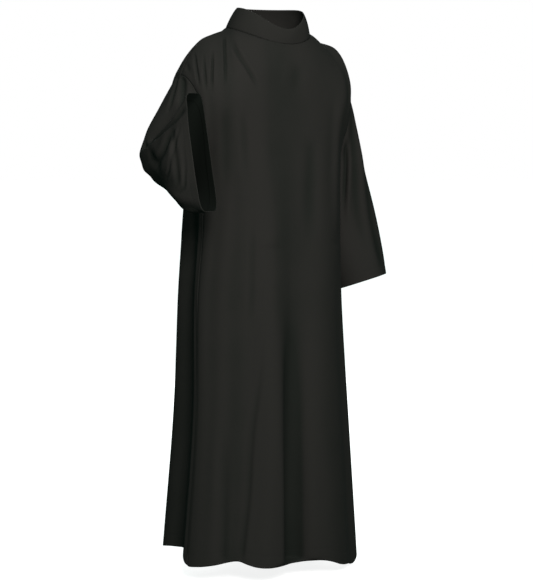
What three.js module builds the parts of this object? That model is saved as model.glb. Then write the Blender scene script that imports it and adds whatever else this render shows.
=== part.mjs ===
// A plain cowl-necked alb of black cloth, in the hollow form that it keeps in wear:
// its right sleeve is raised across the front and its left sleeve hangs.
// Millimetres. +Z is up, the front faces -Y, and +X is the garment's left.
// Levels in the tables are heights above the ground, and the origin is the middle of the
// shoulder line, where the garment is carried.
import * as THREE from 'three';

// Driving sizes
const SHOULDER_LEVEL = 1435;
const UNDERARM_LEVEL = 1150;
const WAIST_LEVEL = 900;
const HEM_LEVEL = 48; // at the centre front
const CLOTH_THICKNESS = 2;
const COLLAR_THICKNESS = 3.2; // the collar's cloth is folded double
const SEAM_GAP = 0.4; // left between two pieces that are sewn together

// Mesh counts
const PANEL_COLUMNS = 36; // cells across a front or back panel
const NECK_SHARE = 0.5; // share of those columns that meets the collar
const ARMHOLE_ROWS = 12; // cells from the shoulder's end to the underarm
const HEM_ROW = 29; // cells from the shoulder to the hem
const COLLAR_ROWS = 5;
const RING_CELLS = 2 * ARMHOLE_ROWS; // cells round a sleeve
const SLEEVE_ROWS = { left: 13, right: 20 }; // cells along each sleeve

const COLOUR = 0x2a2a28;

// Rows of named values
function table(columns, ...rows) {
  return rows.map((row) => Object.fromEntries(columns.map((column, i) => [column, row[i]])));
}

// Neck seam and collar rim are ovals whose level dips at the centre front. dipPower says how
// narrow the dip is, and the level falls by sideTilt at the left and rises by it at the right.
const [NECK, RIM] = table(
  ['halfWidth', 'halfDepth', 'centreY', 'level', 'frontDrop', 'dipPower', 'backRise', 'sideTilt'],
  [121, 99, 0, 1476, 42, 3.5, 4, 2],
  [93, 85, -12, 1532, 58, 4.5, 3, 0],
);

// Shoulder seams, from the neck to the armhole
const SEAM_COLUMNS = ['x', 'y', 'level'];
const SHOULDER_SEAM = {
  left: table(SEAM_COLUMNS, [159, 0, 1450], [215, 0, 1434], [235, -2, 1396]),
  right: table(SEAM_COLUMNS, [-171, 2, 1461], [-215, 4, 1441], [-244, 8, 1401]),
};

// Rings of each sleeve, the first of which is its armhole. A ring is an oval through a top and
// a bottom point, each x, y and level. side is the reach from its middle to the side that
// starts as the front, and square is the power that fills the oval's corners. frontSquare is
// the power between that side and the bottom: the hanging sleeve lies flat beside the body.
const RING_COLUMNS = ['name', 'top', 'bottom', 'side', 'square', 'frontSquare'];
const SLEEVE_RINGS = {
  left: table(
    RING_COLUMNS,
    ['armhole', [240, 9, 1348], [223, 18, 1146], [2, -63, 0], 2.1, 2.1],
    ['upper arm', [263, 6, 1268], [227, 33, 1090], [8, -54, 0], 2.4, 2.8],
    ['elbow', [302, 5, 1150], [228, 45, 1011], [1, -53, 0], 2.4, 2.9],
    ['forearm', [364, 14, 975], [235, 46, 869], [-15, -59, 8], 2.3, 3],
    ['cuff', [405, 13, 795], [263, 61, 751], [-24, -89, 16], 2, 2.3],
  ),
  right: table(
    RING_COLUMNS,
    ['armhole', [-268, 12, 1350], [-214, 12, 1140], [-2, -70, 0], 2, 2],
    ['upper arm', [-310, 18, 1275], [-234, 20, 1096], [4, -76, 0], 2, 2],
    ['above elbow', [-340, 18, 1214], [-271, 20, 1077], [18, -70, 0], 2.1, 2.1],
    ['elbow', [-349, -4, 1174], [-309, -6, 1060], [38, -53, 0], 2.05, 2.05],
    ['below elbow', [-352, -50, 1198], [-320, -66, 1039], [41, -23, 0], 2.3, 2.3],
    ['forearm', [-338, -102, 1243], [-333, -142, 999], [46, 0, 0], 2.5, 2.5],
    ['cuff', [-324, -150, 1300], [-316, -213, 999], [30, 11, 0], 3.6, 3.6],
  ),
};

// The chest section meets the armholes at this cell row
const CHEST = { row: 4, front: 118, back: 132, level: 1352, backLevel: 1378, square: 2.1 };

// Sections below the arms. row is the cell row that a section lies on, front and back are its
// depths from the middle, right and left its half widths, seamY the place of its side seams,
// level its height at the centre front and back, and edgeLevel its height at the side seams.
// Its front right quarter has a power of its own.
const BODY_SECTIONS = table(
  ['name', 'row', 'front', 'back', 'right', 'left', 'seamY', 'level', 'edgeLevel', 'square',
    'frontRightSquare'],
  ['underarm', ARMHOLE_ROWS, 122, 150, 215, 210, 10, UNDERARM_LEVEL, 1142, 3, 2.5],
  ['waist', 15, 126, 160, 203, 210, 6, 985, 975, 2.7, 2.05],
  ['hip', 18.5, 132, 166, 221, 220, 5, 760, 752, 2.4, 1.8],
  ['knee', 23, 143, 199, 225, 248, 5, 440, 438, 2.2, 1.75],
  ['hem', HEM_ROW, 155, 222, 255, 281, 5, HEM_LEVEL, HEM_LEVEL + 4, 2.15, 1.8],
);

// Folds of the body. Angles run round the section from the centre front, positive to the left.
// A fold starts at the level from, and stands out (or in, if negative) by waist at
// WAIST_LEVEL and by hem at the hem.
const BODY_FOLDS = table(
  ['name', 'hemAngle', 'waistAngle', 'halfAngle', 'from', 'waist', 'hem'],
  ['right side valley', -112, -108, 13, 1130, -14, -22],
  ['right back lobe', -138, -134, 17, 1290, 36, 58],
  ['right front edge', -92, -90, 10, 1130, 2, 4],
  ['right front trough', -57, -54, 6, 700, 0, -8],
  ['right front crease', -43, -31, 4.5, 800, 0, -9],
  ['middle ridge', -24, -20, 9, 1000, 3, 14],
  ['centre trough', 1, 1, 11, 1250, -9, -36],
  ['left front ridge', 24, 22, 13, 1150, 5, 10],
  ['left front trough', 54, 48, 11, 1000, -4, -14],
  ['left side valley', 106, 104, 13, 1080, -24, -48],
  ['left back lobe', 131, 128, 15, 1200, 14, 30],
  ['left back valley', 154, 152, 10, 1180, -12, -34],
  ['back ridge', 173, 172, 12, 1230, 10, 24],
  ['right back valley', -166, -162, 10, 1200, -16, -34],
);
const FOLD_RUN = 300; // height over which a fold grows from nothing
const FOLD_FLATNESS = 1.4; // how much more a fold moves the cloth forward than sideways

// How far the hem is drawn up, or hangs low if negative, at angles round the body. It hangs
// low at the left, where the raised sleeve doesn't draw it up.
const HEM_SHIFTS = [
  [-160, 9], [-140, -6], [-122, 8], [-106, 11], [-90, -17], [-76, -16], [-60, -7], [-45, 5],
  [-30, -9], [-15, -12], [0, -16], [15, -13], [30, -33], [45, -35], [60, -60], [75, -31],
  [90, -26], [120, -3], [160, 1],
];

const radians = THREE.MathUtils.degToRad;

function vector(x, y, level) {
  return new THREE.Vector3(x, y, level - SHOULDER_LEVEL);
}

// cos or sin with its corners filled, for ovals of a given squareness
function filled(value, square) {
  return Math.sign(value) * Math.pow(Math.abs(value), 2 / square);
}

// A point of the neck seam or of the collar's rim, angle from the centre front
function neckPoint(oval, angle) {
  const dip = Math.pow((1 + Math.cos(angle)) / 2, oval.dipPower);
  const rise = (1 - Math.cos(angle)) / 2;
  return vector(
    oval.halfWidth * Math.sin(angle),
    oval.centreY - oval.halfDepth * Math.cos(angle),
    oval.level - oval.frontDrop * dip + oval.backRise * rise - oval.sideTilt * Math.sin(angle),
  );
}

// A point of a sleeve ring, angle from its top through the side that starts as the front
function ringPoint(ring, angle) {
  const top = vector(...ring.top);
  const bottom = vector(...ring.bottom);
  const middle = top.clone().add(bottom).multiplyScalar(0.5);
  const up = top.sub(bottom).multiplyScalar(0.5);
  const side = new THREE.Vector3(...ring.side);
  const lowerFront = Math.cos(angle) < 0 && Math.sin(angle) > 0;
  const square = lowerFront ? ring.frontSquare : ring.square;
  return middle
    .addScaledVector(up, filled(Math.cos(angle), square))
    .addScaledVector(side, filled(Math.sin(angle), square));
}

// A smooth curve through knots { at, point, tangent? }, as a function of at
function smoothThrough(knots) {
  const slopes = knots.map((knot, i) => {
    if (knot.tangent) return knot.tangent;
    const before = knots[Math.max(i - 1, 0)];
    const after = knots[Math.min(i + 1, knots.length - 1)];
    return after.point.clone().sub(before.point).divideScalar(after.at - before.at);
  });
  return (at) => {
    let i = 0;
    while (i < knots.length - 2 && at > knots[i + 1].at) i += 1;
    const span = knots[i + 1].at - knots[i].at;
    const s = (at - knots[i].at) / span;
    const start = (1 + 2 * s) * (1 - s) * (1 - s);
    const end = s * s * (3 - 2 * s);
    return new THREE.Vector3()
      .addScaledVector(knots[i].point, start)
      .addScaledVector(knots[i + 1].point, end)
      .addScaledVector(slopes[i], s * (1 - s) * (1 - s) * span)
      .addScaledVector(slopes[i + 1], s * s * (s - 1) * span);
  };
}

const SEAM_CURVES = Object.fromEntries(
  ['left', 'right'].map((side) => {
    const start = neckPoint(NECK, side === 'left' ? Math.PI / 2 : -Math.PI / 2);
    const middle = SHOULDER_SEAM[side].map((p) => vector(p.x, p.y, p.level));
    const end = ringPoint(SLEEVE_RINGS[side][0], 0);
    const points = [start, ...middle, end];
    const share = (i) => i / (points.length - 1);
    return [side, smoothThrough(points.map((point, i) => ({ at: share(i), point })))];
  }),
);

// The top edge of a panel: shoulder seam, neck, shoulder seam. across runs from -1 at the
// right armhole to 1 at the left one, and facing is 1 in front and -1 at the back.
function topEdge(across, facing) {
  const reach = Math.abs(across);
  if (reach > NECK_SHARE) {
    const side = across > 0 ? 'left' : 'right';
    return SEAM_CURVES[side]((reach - NECK_SHARE) / (1 - NECK_SHARE));
  }
  const angle = ((across / NECK_SHARE) * Math.PI) / 2;
  return neckPoint(NECK, facing > 0 ? angle : Math.PI - angle);
}

// The armhole's edge of a panel at a cell row
function armholeEdge(side, row, facing) {
  const angle = (Math.PI * row) / ARMHOLE_ROWS;
  return ringPoint(SLEEVE_RINGS[side][0], facing * angle);
}

// A point of the chest section, whose ends lie on the armholes
function chestPoint(across, facing) {
  const edge = armholeEdge(across > 0 ? 'left' : 'right', CHEST.row, facing);
  const sideways = filled(Math.sin((Math.abs(across) * Math.PI) / 2), CHEST.square);
  const forward = filled(Math.cos((across * Math.PI) / 2), CHEST.square);
  const middle = facing > 0
    ? vector(0, -CHEST.front, CHEST.level)
    : vector(0, CHEST.back, CHEST.backLevel);
  return new THREE.Vector3(
    edge.x * sideways,
    edge.y + (middle.y - edge.y) * forward,
    edge.z + (middle.z - edge.z) * forward,
  );
}

// A point of a section below the arms
function sectionPoint(section, across, facing) {
  const width = across > 0 ? section.left : section.right;
  const depth = facing > 0 ? -section.front : section.back;
  const square = facing > 0 && across < 0 ? section.frontRightSquare : section.square;
  const sideways = filled(Math.sin((across * Math.PI) / 2), square);
  const forward = filled(Math.cos((across * Math.PI) / 2), square);
  return vector(
    width * sideways,
    section.seamY + (depth - section.seamY) * forward,
    section.edgeLevel + (section.level - section.edgeLevel) * forward,
  );
}

// Directions in which the cloth leaves the top edge. Beside the neck it spreads outwards, so
// that it doesn't run along the neck seam there.
const SPREAD = 0.7;
const NECK_FORWARD = 0.3;
const NECK_DOWN = { front: 1.1, back: 0.7 };
const SHOULDER_DOWN = 0.3;
const SHOULDER_END_DOWN = 0.8;

function leaving(across, facing) {
  const reach = Math.abs(across);
  if (reach > NECK_SHARE) {
    const outer = (reach - NECK_SHARE) / (1 - NECK_SHARE);
    const sideways = SPREAD * (1 - outer) ** 2 * Math.sign(across);
    const down = SHOULDER_DOWN + (SHOULDER_END_DOWN - SHOULDER_DOWN) * outer;
    return new THREE.Vector3(sideways, -facing, -down);
  }
  const angle = ((across / NECK_SHARE) * Math.PI) / 2;
  const beside = Math.sin(angle) ** 2;
  const forward = NECK_FORWARD + (1 - NECK_FORWARD) * beside;
  const middleDown = facing > 0 ? NECK_DOWN.front : NECK_DOWN.back;
  const down = middleDown * Math.cos(angle) + SHOULDER_DOWN * beside;
  return new THREE.Vector3(SPREAD * Math.sin(angle), -facing * forward, -down);
}

const LEAVING_SPEED = 0.9; // how far the cloth keeps that direction, in chest spans

function bodyColumn(across, facing) {
  const top = topEdge(across, facing);
  const chest = chestPoint(across, facing);
  const speed = (LEAVING_SPEED * top.distanceTo(chest)) / CHEST.row;
  const tangent = leaving(across, facing).normalize().multiplyScalar(speed);
  const lower = BODY_SECTIONS.map((s) => ({ at: s.row, point: sectionPoint(s, across, facing) }));
  return smoothThrough([{ at: 0, point: top, tangent }, { at: CHEST.row, point: chest }, ...lower]);
}

function smoothStep(share) {
  const s = THREE.MathUtils.clamp(share, 0, 1);
  return s * s * (3 - 2 * s);
}

// Degrees from one angle round the body to another, the short way
function turnBetween(a, b) {
  return ((((a - b + 180) % 360) + 360) % 360) - 180;
}

// How far the folds move the cloth outwards at an angle and level
function foldHeight(angle, level) {
  return BODY_FOLDS.reduce((sum, fold) => {
    const below = (WAIST_LEVEL - level) / (WAIST_LEVEL - HEM_LEVEL);
    const centre = fold.waistAngle + (fold.hemAngle - fold.waistAngle) * below;
    const away = turnBetween(angle, centre) / fold.halfAngle;
    const upper = fold.waist * smoothStep((fold.from - level) / (fold.from - WAIST_LEVEL));
    const started = smoothStep((fold.from - level) / FOLD_RUN);
    const height = below > 0 ? started * (fold.waist + (fold.hem - fold.waist) * below) : upper;
    return sum + height * Math.exp(-away * away);
  }, 0);
}

// The shift at an angle, smooth round the body, and the share of it at a level
function hemShift(angle, level) {
  const low = THREE.MathUtils.clamp((UNDERARM_LEVEL - level) / (UNDERARM_LEVEL - HEM_LEVEL), 0, 1);
  const turned = turnBetween(angle, 0);
  const count = HEM_SHIFTS.length;
  const knot = (i) => {
    const turn = Math.floor(i / count);
    const [at, height] = HEM_SHIFTS[i - turn * count];
    return [at + 360 * turn, height];
  };
  const above = HEM_SHIFTS.findIndex(([at]) => at > turned);
  const next = above < 0 ? count : above;
  const [[a, before], [b, start], [c, end], [d, after]] = [-2, -1, 0, 1].map((k) => knot(next + k));
  const span = c - b;
  const s = (turned - b) / span;
  const startSlope = ((end - before) / (c - a)) * span;
  const endSlope = ((after - start) / (d - b)) * span;
  return low * (
    start * (1 + 2 * s) * (1 - s) ** 2 + end * s * s * (3 - 2 * s)
    + startSlope * s * (1 - s) ** 2 + endSlope * s * s * (s - 1)
  );
}

// Points of a panel, rows from the shoulders to the hem
function panelGrid(facing) {
  const grid = Array.from({ length: HEM_ROW + 1 }, () => []);
  for (let i = 0; i <= PANEL_COLUMNS; i += 1) {
    const across = (2 * i) / PANEL_COLUMNS - 1;
    const column = bodyColumn(across, facing);
    const angle = facing > 0 ? 90 * across : 180 - 90 * across;
    for (let j = 0; j <= HEM_ROW; j += 1) {
      const point = column(j);
      const level = point.z + SHOULDER_LEVEL;
      const outward = new THREE.Vector3(point.x, point.y * FOLD_FLATNESS, 0).normalize();
      point.addScaledVector(outward, j > 0 ? foldHeight(angle, level) : 0);
      point.z += hemShift(angle, level);
      grid[j].push(point);
    }
  }
  ['right', 'left'].forEach((side) => {
    const edge = side === 'right' ? 0 : PANEL_COLUMNS;
    for (let j = 0; j <= ARMHOLE_ROWS; j += 1) {
      fitEdge(grid[j], edge, armholeEdge(side, j, facing));
    }
  });
  return grid;
}

const EDGE_REACH = 7; // cells over which a row bends to meet its armhole

// Moves a row's end to a point, and its neighbours by less and less
function fitEdge(row, edge, target) {
  const step = target.clone().sub(row[edge]);
  for (let i = 0; i < EDGE_REACH; i += 1) {
    const k = edge === 0 ? i : edge - i;
    row[k].addScaledVector(step, (1 - i / EDGE_REACH) ** 2);
  }
}

// Gives two panels the same points down their side seams
function joinSides(front, back) {
  for (let j = 0; j < front.length; j += 1) {
    if (j > 0 && j < ARMHOLE_ROWS) continue;
    [0, PANEL_COLUMNS].forEach((i) => {
      const shared = front[j][i].clone().add(back[j][i]).multiplyScalar(0.5);
      front[j][i].copy(shared);
      back[j][i].copy(shared);
    });
  }
}

// Points of a sleeve, rings from the armhole to the cuff
function sleeveGrid(side) {
  const rings = SLEEVE_RINGS[side];
  const rows = SLEEVE_ROWS[side];
  const grid = Array.from({ length: rows + 1 }, () => []);
  for (let i = 0; i < RING_CELLS; i += 1) {
    const angle = (2 * Math.PI * i) / RING_CELLS;
    const column = smoothThrough(rings.map((ring, k) => ({ at: k, point: ringPoint(ring, angle) })));
    for (let j = 0; j <= rows; j += 1) grid[j].push(column((j * (rings.length - 1)) / rows));
  }
  return grid;
}

// Points of the collar, rings from the neck seam to the rim
function collarGrid() {
  const frontCells = PANEL_COLUMNS * NECK_SHARE;
  const grid = Array.from({ length: COLLAR_ROWS + 1 }, () => []);
  for (let i = 0; i < 2 * frontCells; i += 1) {
    const angle = (Math.PI * i) / frontCells;
    const foot = neckPoint(NECK, angle);
    const rim = neckPoint(RIM, angle);
    for (let j = 0; j <= COLLAR_ROWS; j += 1) {
      const height = j / COLLAR_ROWS;
      grid[j].push(foot.clone().lerp(rim, height));
    }
  }
  return grid;
}

// Cells of a grid as corner places, round and closed where it wraps
function gridCells(grid, wraps) {
  const cells = [];
  const columns = grid[0].length;
  const across = wraps ? columns : columns - 1;
  for (let j = 0; j < grid.length - 1; j += 1) {
    for (let i = 0; i < across; i += 1) {
      const next = (i + 1) % columns;
      cells.push([[j, i], [j, next], [j + 1, next], [j + 1, i]]);
    }
  }
  return cells;
}

const SHARP_TURN = Math.cos(radians(35));
const SAME_PLACE = 0.02; // points closer than this are one point of a seam

const seamKey = (point) => point.toArray().map((x) => Math.round(x / SAME_PLACE)).join(',');

// Outward directions at the points of the pieces. Along a seam they are those of all its
// pieces together, so that the walls agree, except where the pieces turn sharply away from
// each other, as under an arm: there each wall keeps its own direction.
function wallNormals(pieces) {
  const sums = new Map();
  const add = (key, normal) => {
    if (!sums.has(key)) sums.set(key, new THREE.Vector3());
    sums.get(key).add(normal);
  };
  pieces.forEach(({ name, grid, wraps, flip }) => {
    gridCells(grid, wraps).forEach((cell) => {
      const corners = cell.map(([j, i]) => grid[j][i]);
      const [a, b, c, d] = corners;
      const normal = c.clone().sub(a).cross(d.clone().sub(b));
      if (flip) normal.negate();
      corners.forEach((p) => {
        add(seamKey(p), normal);
        add(name + seamKey(p), normal);
      });
    });
  });
  return (name, point) => {
    const shared = sums.get(seamKey(point)).clone().normalize();
    const own = sums.get(name + seamKey(point)).clone().normalize();
    return own.dot(shared) > SHARP_TURN ? shared : own;
  };
}

// Moves the edges named in seams back from their seams by half the gap
function openSeams(grid, wraps, seams) {
  const half = SEAM_GAP / 2;
  const moved = grid.map((row) => row.map((p) => p.clone()));
  const last = grid[0].length - 1;
  const pull = (j, i, jIn, iIn) => {
    const inward = grid[jIn][iIn].clone().sub(grid[j][i]).normalize();
    moved[j][i].addScaledVector(inward, half);
  };
  grid[0].forEach((_, i) => seams.includes('top') && pull(0, i, 1, i));
  if (!wraps && seams.includes('sides')) {
    grid.forEach((_, j) => {
      pull(j, 0, j, 1);
      pull(j, last, j, last - 1);
    });
  }
  return moved;
}

// A closed wall: the grid's outer side, an inner side one thickness in, and the rims between
function wallGeometry({ name, grid, wraps, flip, seams, thickness }, normalAt) {
  const outer = openSeams(grid, wraps, seams);
  const columns = grid[0].length;
  const count = grid.length * columns;
  const positions = [];
  const place = (p) => positions.push(p.x, p.y, p.z);
  outer.forEach((row) => row.forEach(place));
  outer.forEach((row, j) =>
    row.forEach((p, i) => place(p.clone().addScaledVector(normalAt(name, grid[j][i]), -thickness))),
  );
  const index = [];
  const quad = (a, b, c, d) => {
    if (flip) index.push(a, c, b, a, d, c);
    else index.push(a, b, c, a, c, d);
  };
  const at = (j, i) => j * columns + (i % columns);
  gridCells(grid, wraps).forEach((cell) => {
    const [a, b, c, d] = cell.map(([j, i]) => at(j, i));
    quad(a, b, c, d);
    quad(count + b, count + a, count + d, count + c);
  });
  const rim = (a, b) => quad(b, a, count + a, count + b);
  const across = wraps ? columns : columns - 1;
  const lastRow = grid.length - 1;
  for (let i = 0; i < across; i += 1) {
    rim(at(0, i), at(0, i + 1));
    rim(at(lastRow, i + 1), at(lastRow, i));
  }
  for (let j = 0; j < lastRow && !wraps; j += 1) {
    rim(at(j + 1, 0), at(j, 0));
    rim(at(j, columns - 1), at(j + 1, columns - 1));
  }
  const geometry = new THREE.BufferGeometry();
  geometry.setAttribute('position', new THREE.Float32BufferAttribute(positions, 3));
  geometry.setIndex(index);
  geometry.computeVertexNormals();
  return geometry;
}

const front = panelGrid(1);
const back = panelGrid(-1);
joinSides(front, back);

// flip turns a piece whose grid runs the other way round, so that its faces point outwards
const pieces = table(
  ['name', 'grid', 'wraps', 'flip', 'seams', 'thickness'],
  ['front', front, false, true, ['top', 'sides'], CLOTH_THICKNESS],
  ['back', back, false, false, ['top', 'sides'], CLOTH_THICKNESS],
  ['sleeve_left', sleeveGrid('left'), true, false, ['top'], CLOTH_THICKNESS],
  ['sleeve_right', sleeveGrid('right'), true, true, ['top'], CLOTH_THICKNESS],
  ['collar', collarGrid(), true, false, ['top'], COLLAR_THICKNESS],
);

const garment = new THREE.Group();
garment.name = 'alb';
const normalAt = wallNormals(pieces);
pieces.forEach((piece) => {
  const cloth = new THREE.MeshStandardMaterial({ color: COLOUR, roughness: 0.9, metalness: 0 });
  const mesh = new THREE.Mesh(wallGeometry(piece, normalAt), cloth);
  mesh.name = piece.name;
  garment.add(mesh);
});

export default garment;
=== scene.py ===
"""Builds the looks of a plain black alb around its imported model.

The alb keeps the hollow form that it has in wear: its right sleeve is raised across the
front and its left sleeve hangs. Tables of sizes are in millimetres, with levels above the
ground, and meshes are in metres, with the origin in the middle of the shoulder line.
"""

import math
from functools import partial

import bmesh
import bpy
import numpy as np
from mathutils import Matrix, Vector
from bpy.props import FloatProperty, FloatVectorProperty, IntProperty, PointerProperty


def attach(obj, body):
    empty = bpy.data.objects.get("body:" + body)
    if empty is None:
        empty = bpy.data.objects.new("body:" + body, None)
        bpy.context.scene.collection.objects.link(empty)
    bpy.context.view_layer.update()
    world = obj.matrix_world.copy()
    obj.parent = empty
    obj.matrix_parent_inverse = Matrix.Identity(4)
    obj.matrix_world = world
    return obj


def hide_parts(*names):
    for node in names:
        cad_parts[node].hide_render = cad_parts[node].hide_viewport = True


bl_info = {
    "name": "Black alb, worn form",
    "version": (1, 0, 0),
    "blender": (4, 5, 0),
    "location": "View3D > Sidebar > Alb",
    "description": "Cloth panels, sleeves, collar and stitching of an alb in its worn form",
    "category": "Object",
}

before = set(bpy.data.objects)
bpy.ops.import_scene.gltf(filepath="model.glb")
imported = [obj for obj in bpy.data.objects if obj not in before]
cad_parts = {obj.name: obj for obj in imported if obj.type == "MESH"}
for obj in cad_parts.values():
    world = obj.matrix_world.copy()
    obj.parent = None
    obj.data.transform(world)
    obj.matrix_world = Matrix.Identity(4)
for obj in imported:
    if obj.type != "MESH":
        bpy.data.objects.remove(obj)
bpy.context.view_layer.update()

MM = 0.001
BODY = "root"


def table(columns, *rows):
    """Rows of values, each named after its column."""
    return [dict(zip(columns.split(), row)) for row in rows]


# Levels above the ground
SHOULDER_LEVEL = 1435
UNDERARM_LEVEL = 1150
WAIST_LEVEL = 900
HEM_LEVEL = 48

# A panel's places run across from -1 at the garment's right to 1 at its left, and down in
# rows, from 0 at the shoulder past the underarm to the hem.
NECK_SHARE = 0.5
CHEST_ROW = 4
UNDERARM_ROW = 12
HEM_ROW = 29

# Neck seam and collar rim are ovals whose level dips at the centre front
NECK, RIM = table(
    "half_width half_depth centre_y level front_drop dip_power back_rise side_tilt",
    (121, 99, 0, 1476, 42, 3.5, 4, 2),
    (93, 85, -12, 1532, 58, 4.5, 3, 0),
)

# Shoulder seams from the neck to the armhole: x, y and level
SHOULDER_SEAM = {
    "left": ((159, 0, 1450), (215, 0, 1434), (235, -2, 1396)),
    "right": ((-171, 2, 1461), (-215, 4, 1441), (-244, 8, 1401)),
}

# Rings of each sleeve from its armhole. Each is an oval through a top and a bottom point,
# with its reach to the side that starts as the front, and the power that fills its corners.
# front_square is the power between that side and the bottom.
SLEEVE_RINGS = {
    "left": table(
        "top bottom side square front_square",
        ((240, 9, 1348), (223, 18, 1146), (2, -63, 0), 2.1, 2.1),
        ((263, 6, 1268), (227, 33, 1090), (8, -54, 0), 2.4, 2.8),
        ((302, 5, 1150), (228, 45, 1011), (1, -53, 0), 2.4, 2.9),
        ((364, 14, 975), (235, 46, 869), (-15, -59, 8), 2.3, 3),
        ((405, 13, 795), (263, 61, 751), (-24, -89, 16), 2, 2.3),
    ),
    "right": table(
        "top bottom side square front_square",
        ((-268, 12, 1350), (-214, 12, 1140), (-2, -79, 0), 2, 2),
        ((-310, 18, 1275), (-234, 20, 1096), (4, -76, 0), 2, 2),
        ((-340, 18, 1214), (-271, 20, 1077), (18, -70, 0), 2.1, 2.1),
        ((-349, -4, 1174), (-309, -6, 1060), (38, -53, 0), 2.05, 2.05),
        ((-352, -50, 1198), (-320, -66, 1039), (41, -23, 0), 2.3, 2.3),
        ((-338, -102, 1243), (-333, -142, 999), (46, 0, 0), 2.5, 2.5),
        ((-324, -150, 1300), (-316, -213, 999), (35, 13, 0), 5.5, 5.5),
    ),
}

# Cross sections of the body, each at a row: the chest, and those from the underarm down
CHEST = {"front": 118, "back": 132, "level": 1352, "back_level": 1378, "square": 2.1}
BODY_SECTIONS = table(
    "row front back right left seam_y level edge_level square front_right_square",
    (UNDERARM_ROW, 122, 150, 215, 210, 10, UNDERARM_LEVEL, 1142, 3, 2.5),
    (15, 126, 160, 203, 210, 6, 985, 975, 2.7, 2.05),
    (18.5, 132, 166, 221, 220, 5, 760, 752, 2.4, 1.8),
    (23, 143, 199, 225, 248, 5, 440, 438, 2.2, 1.75),
    (HEM_ROW, 155, 222, 255, 281, 5, HEM_LEVEL, HEM_LEVEL + 4, 2.15, 1.8),
)

# Deep folds that the solids have too. Angles run round the body from the centre front,
# positive to the left. A fold starts at a level and stands out by waist and by hem.
BODY_FOLDS = table(
    "hem_angle waist_angle half_angle start waist hem",
    (-112, -108, 13, 1130, -14, -22),
    (-138, -134, 17, 1290, 36, 58),
    (-92, -90, 10, 1130, 2, 4),
    (-57, -54, 6, 700, 0, -8),
    (-43, -31, 4.5, 800, 0, -9),
    (-24, -20, 9, 1000, 3, 14),
    (1, 1, 11, 1250, -9, -36),
    (24, 22, 13, 1150, 5, 10),
    (54, 48, 11, 1000, -4, -14),
    (106, 104, 13, 1080, -24, -48),
    (131, 128, 15, 1200, 14, 30),
    (154, 152, 10, 1180, -12, -34),
    (173, 172, 12, 1230, 10, 24),
    (-166, -162, 10, 1200, -16, -34),
)
FOLD_RUN = 300  # a fold takes this much height to come in
FOLD_FLATNESS = 1.4  # folds lean towards front and back by this much

# How far the hem is drawn up, or hangs low if negative, at angles round the body
HEM_SHIFTS = (
    (-160, 9), (-140, -6), (-122, 8), (-106, 11), (-90, -17), (-76, -16), (-60, -7), (-45, 5),
    (-30, -9), (-15, -12), (0, -16), (15, -13), (30, -36), (45, -47), (60, -58), (75, -36),
    (90, -26), (120, -3), (160, 1),
)

# How the cloth leaves the neck and shoulder seams: shares sideways, forward and down
SPREAD = 0.7
NECK_FORWARD = 0.3
NECK_DOWN = {"front": 1.1, "back": 0.7}
SHOULDER_DOWN = (0.3, 0.8)
LEAVING_SPEED = 0.9

# How far the pull of the armhole reaches across a panel, and below the underarm in rows
EDGE_REACH = 7 / 18
EDGE_FADE = 1.5

FACING = {"front": 1, "back": -1}
SIDES = {"left": 1, "right": -1}

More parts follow.
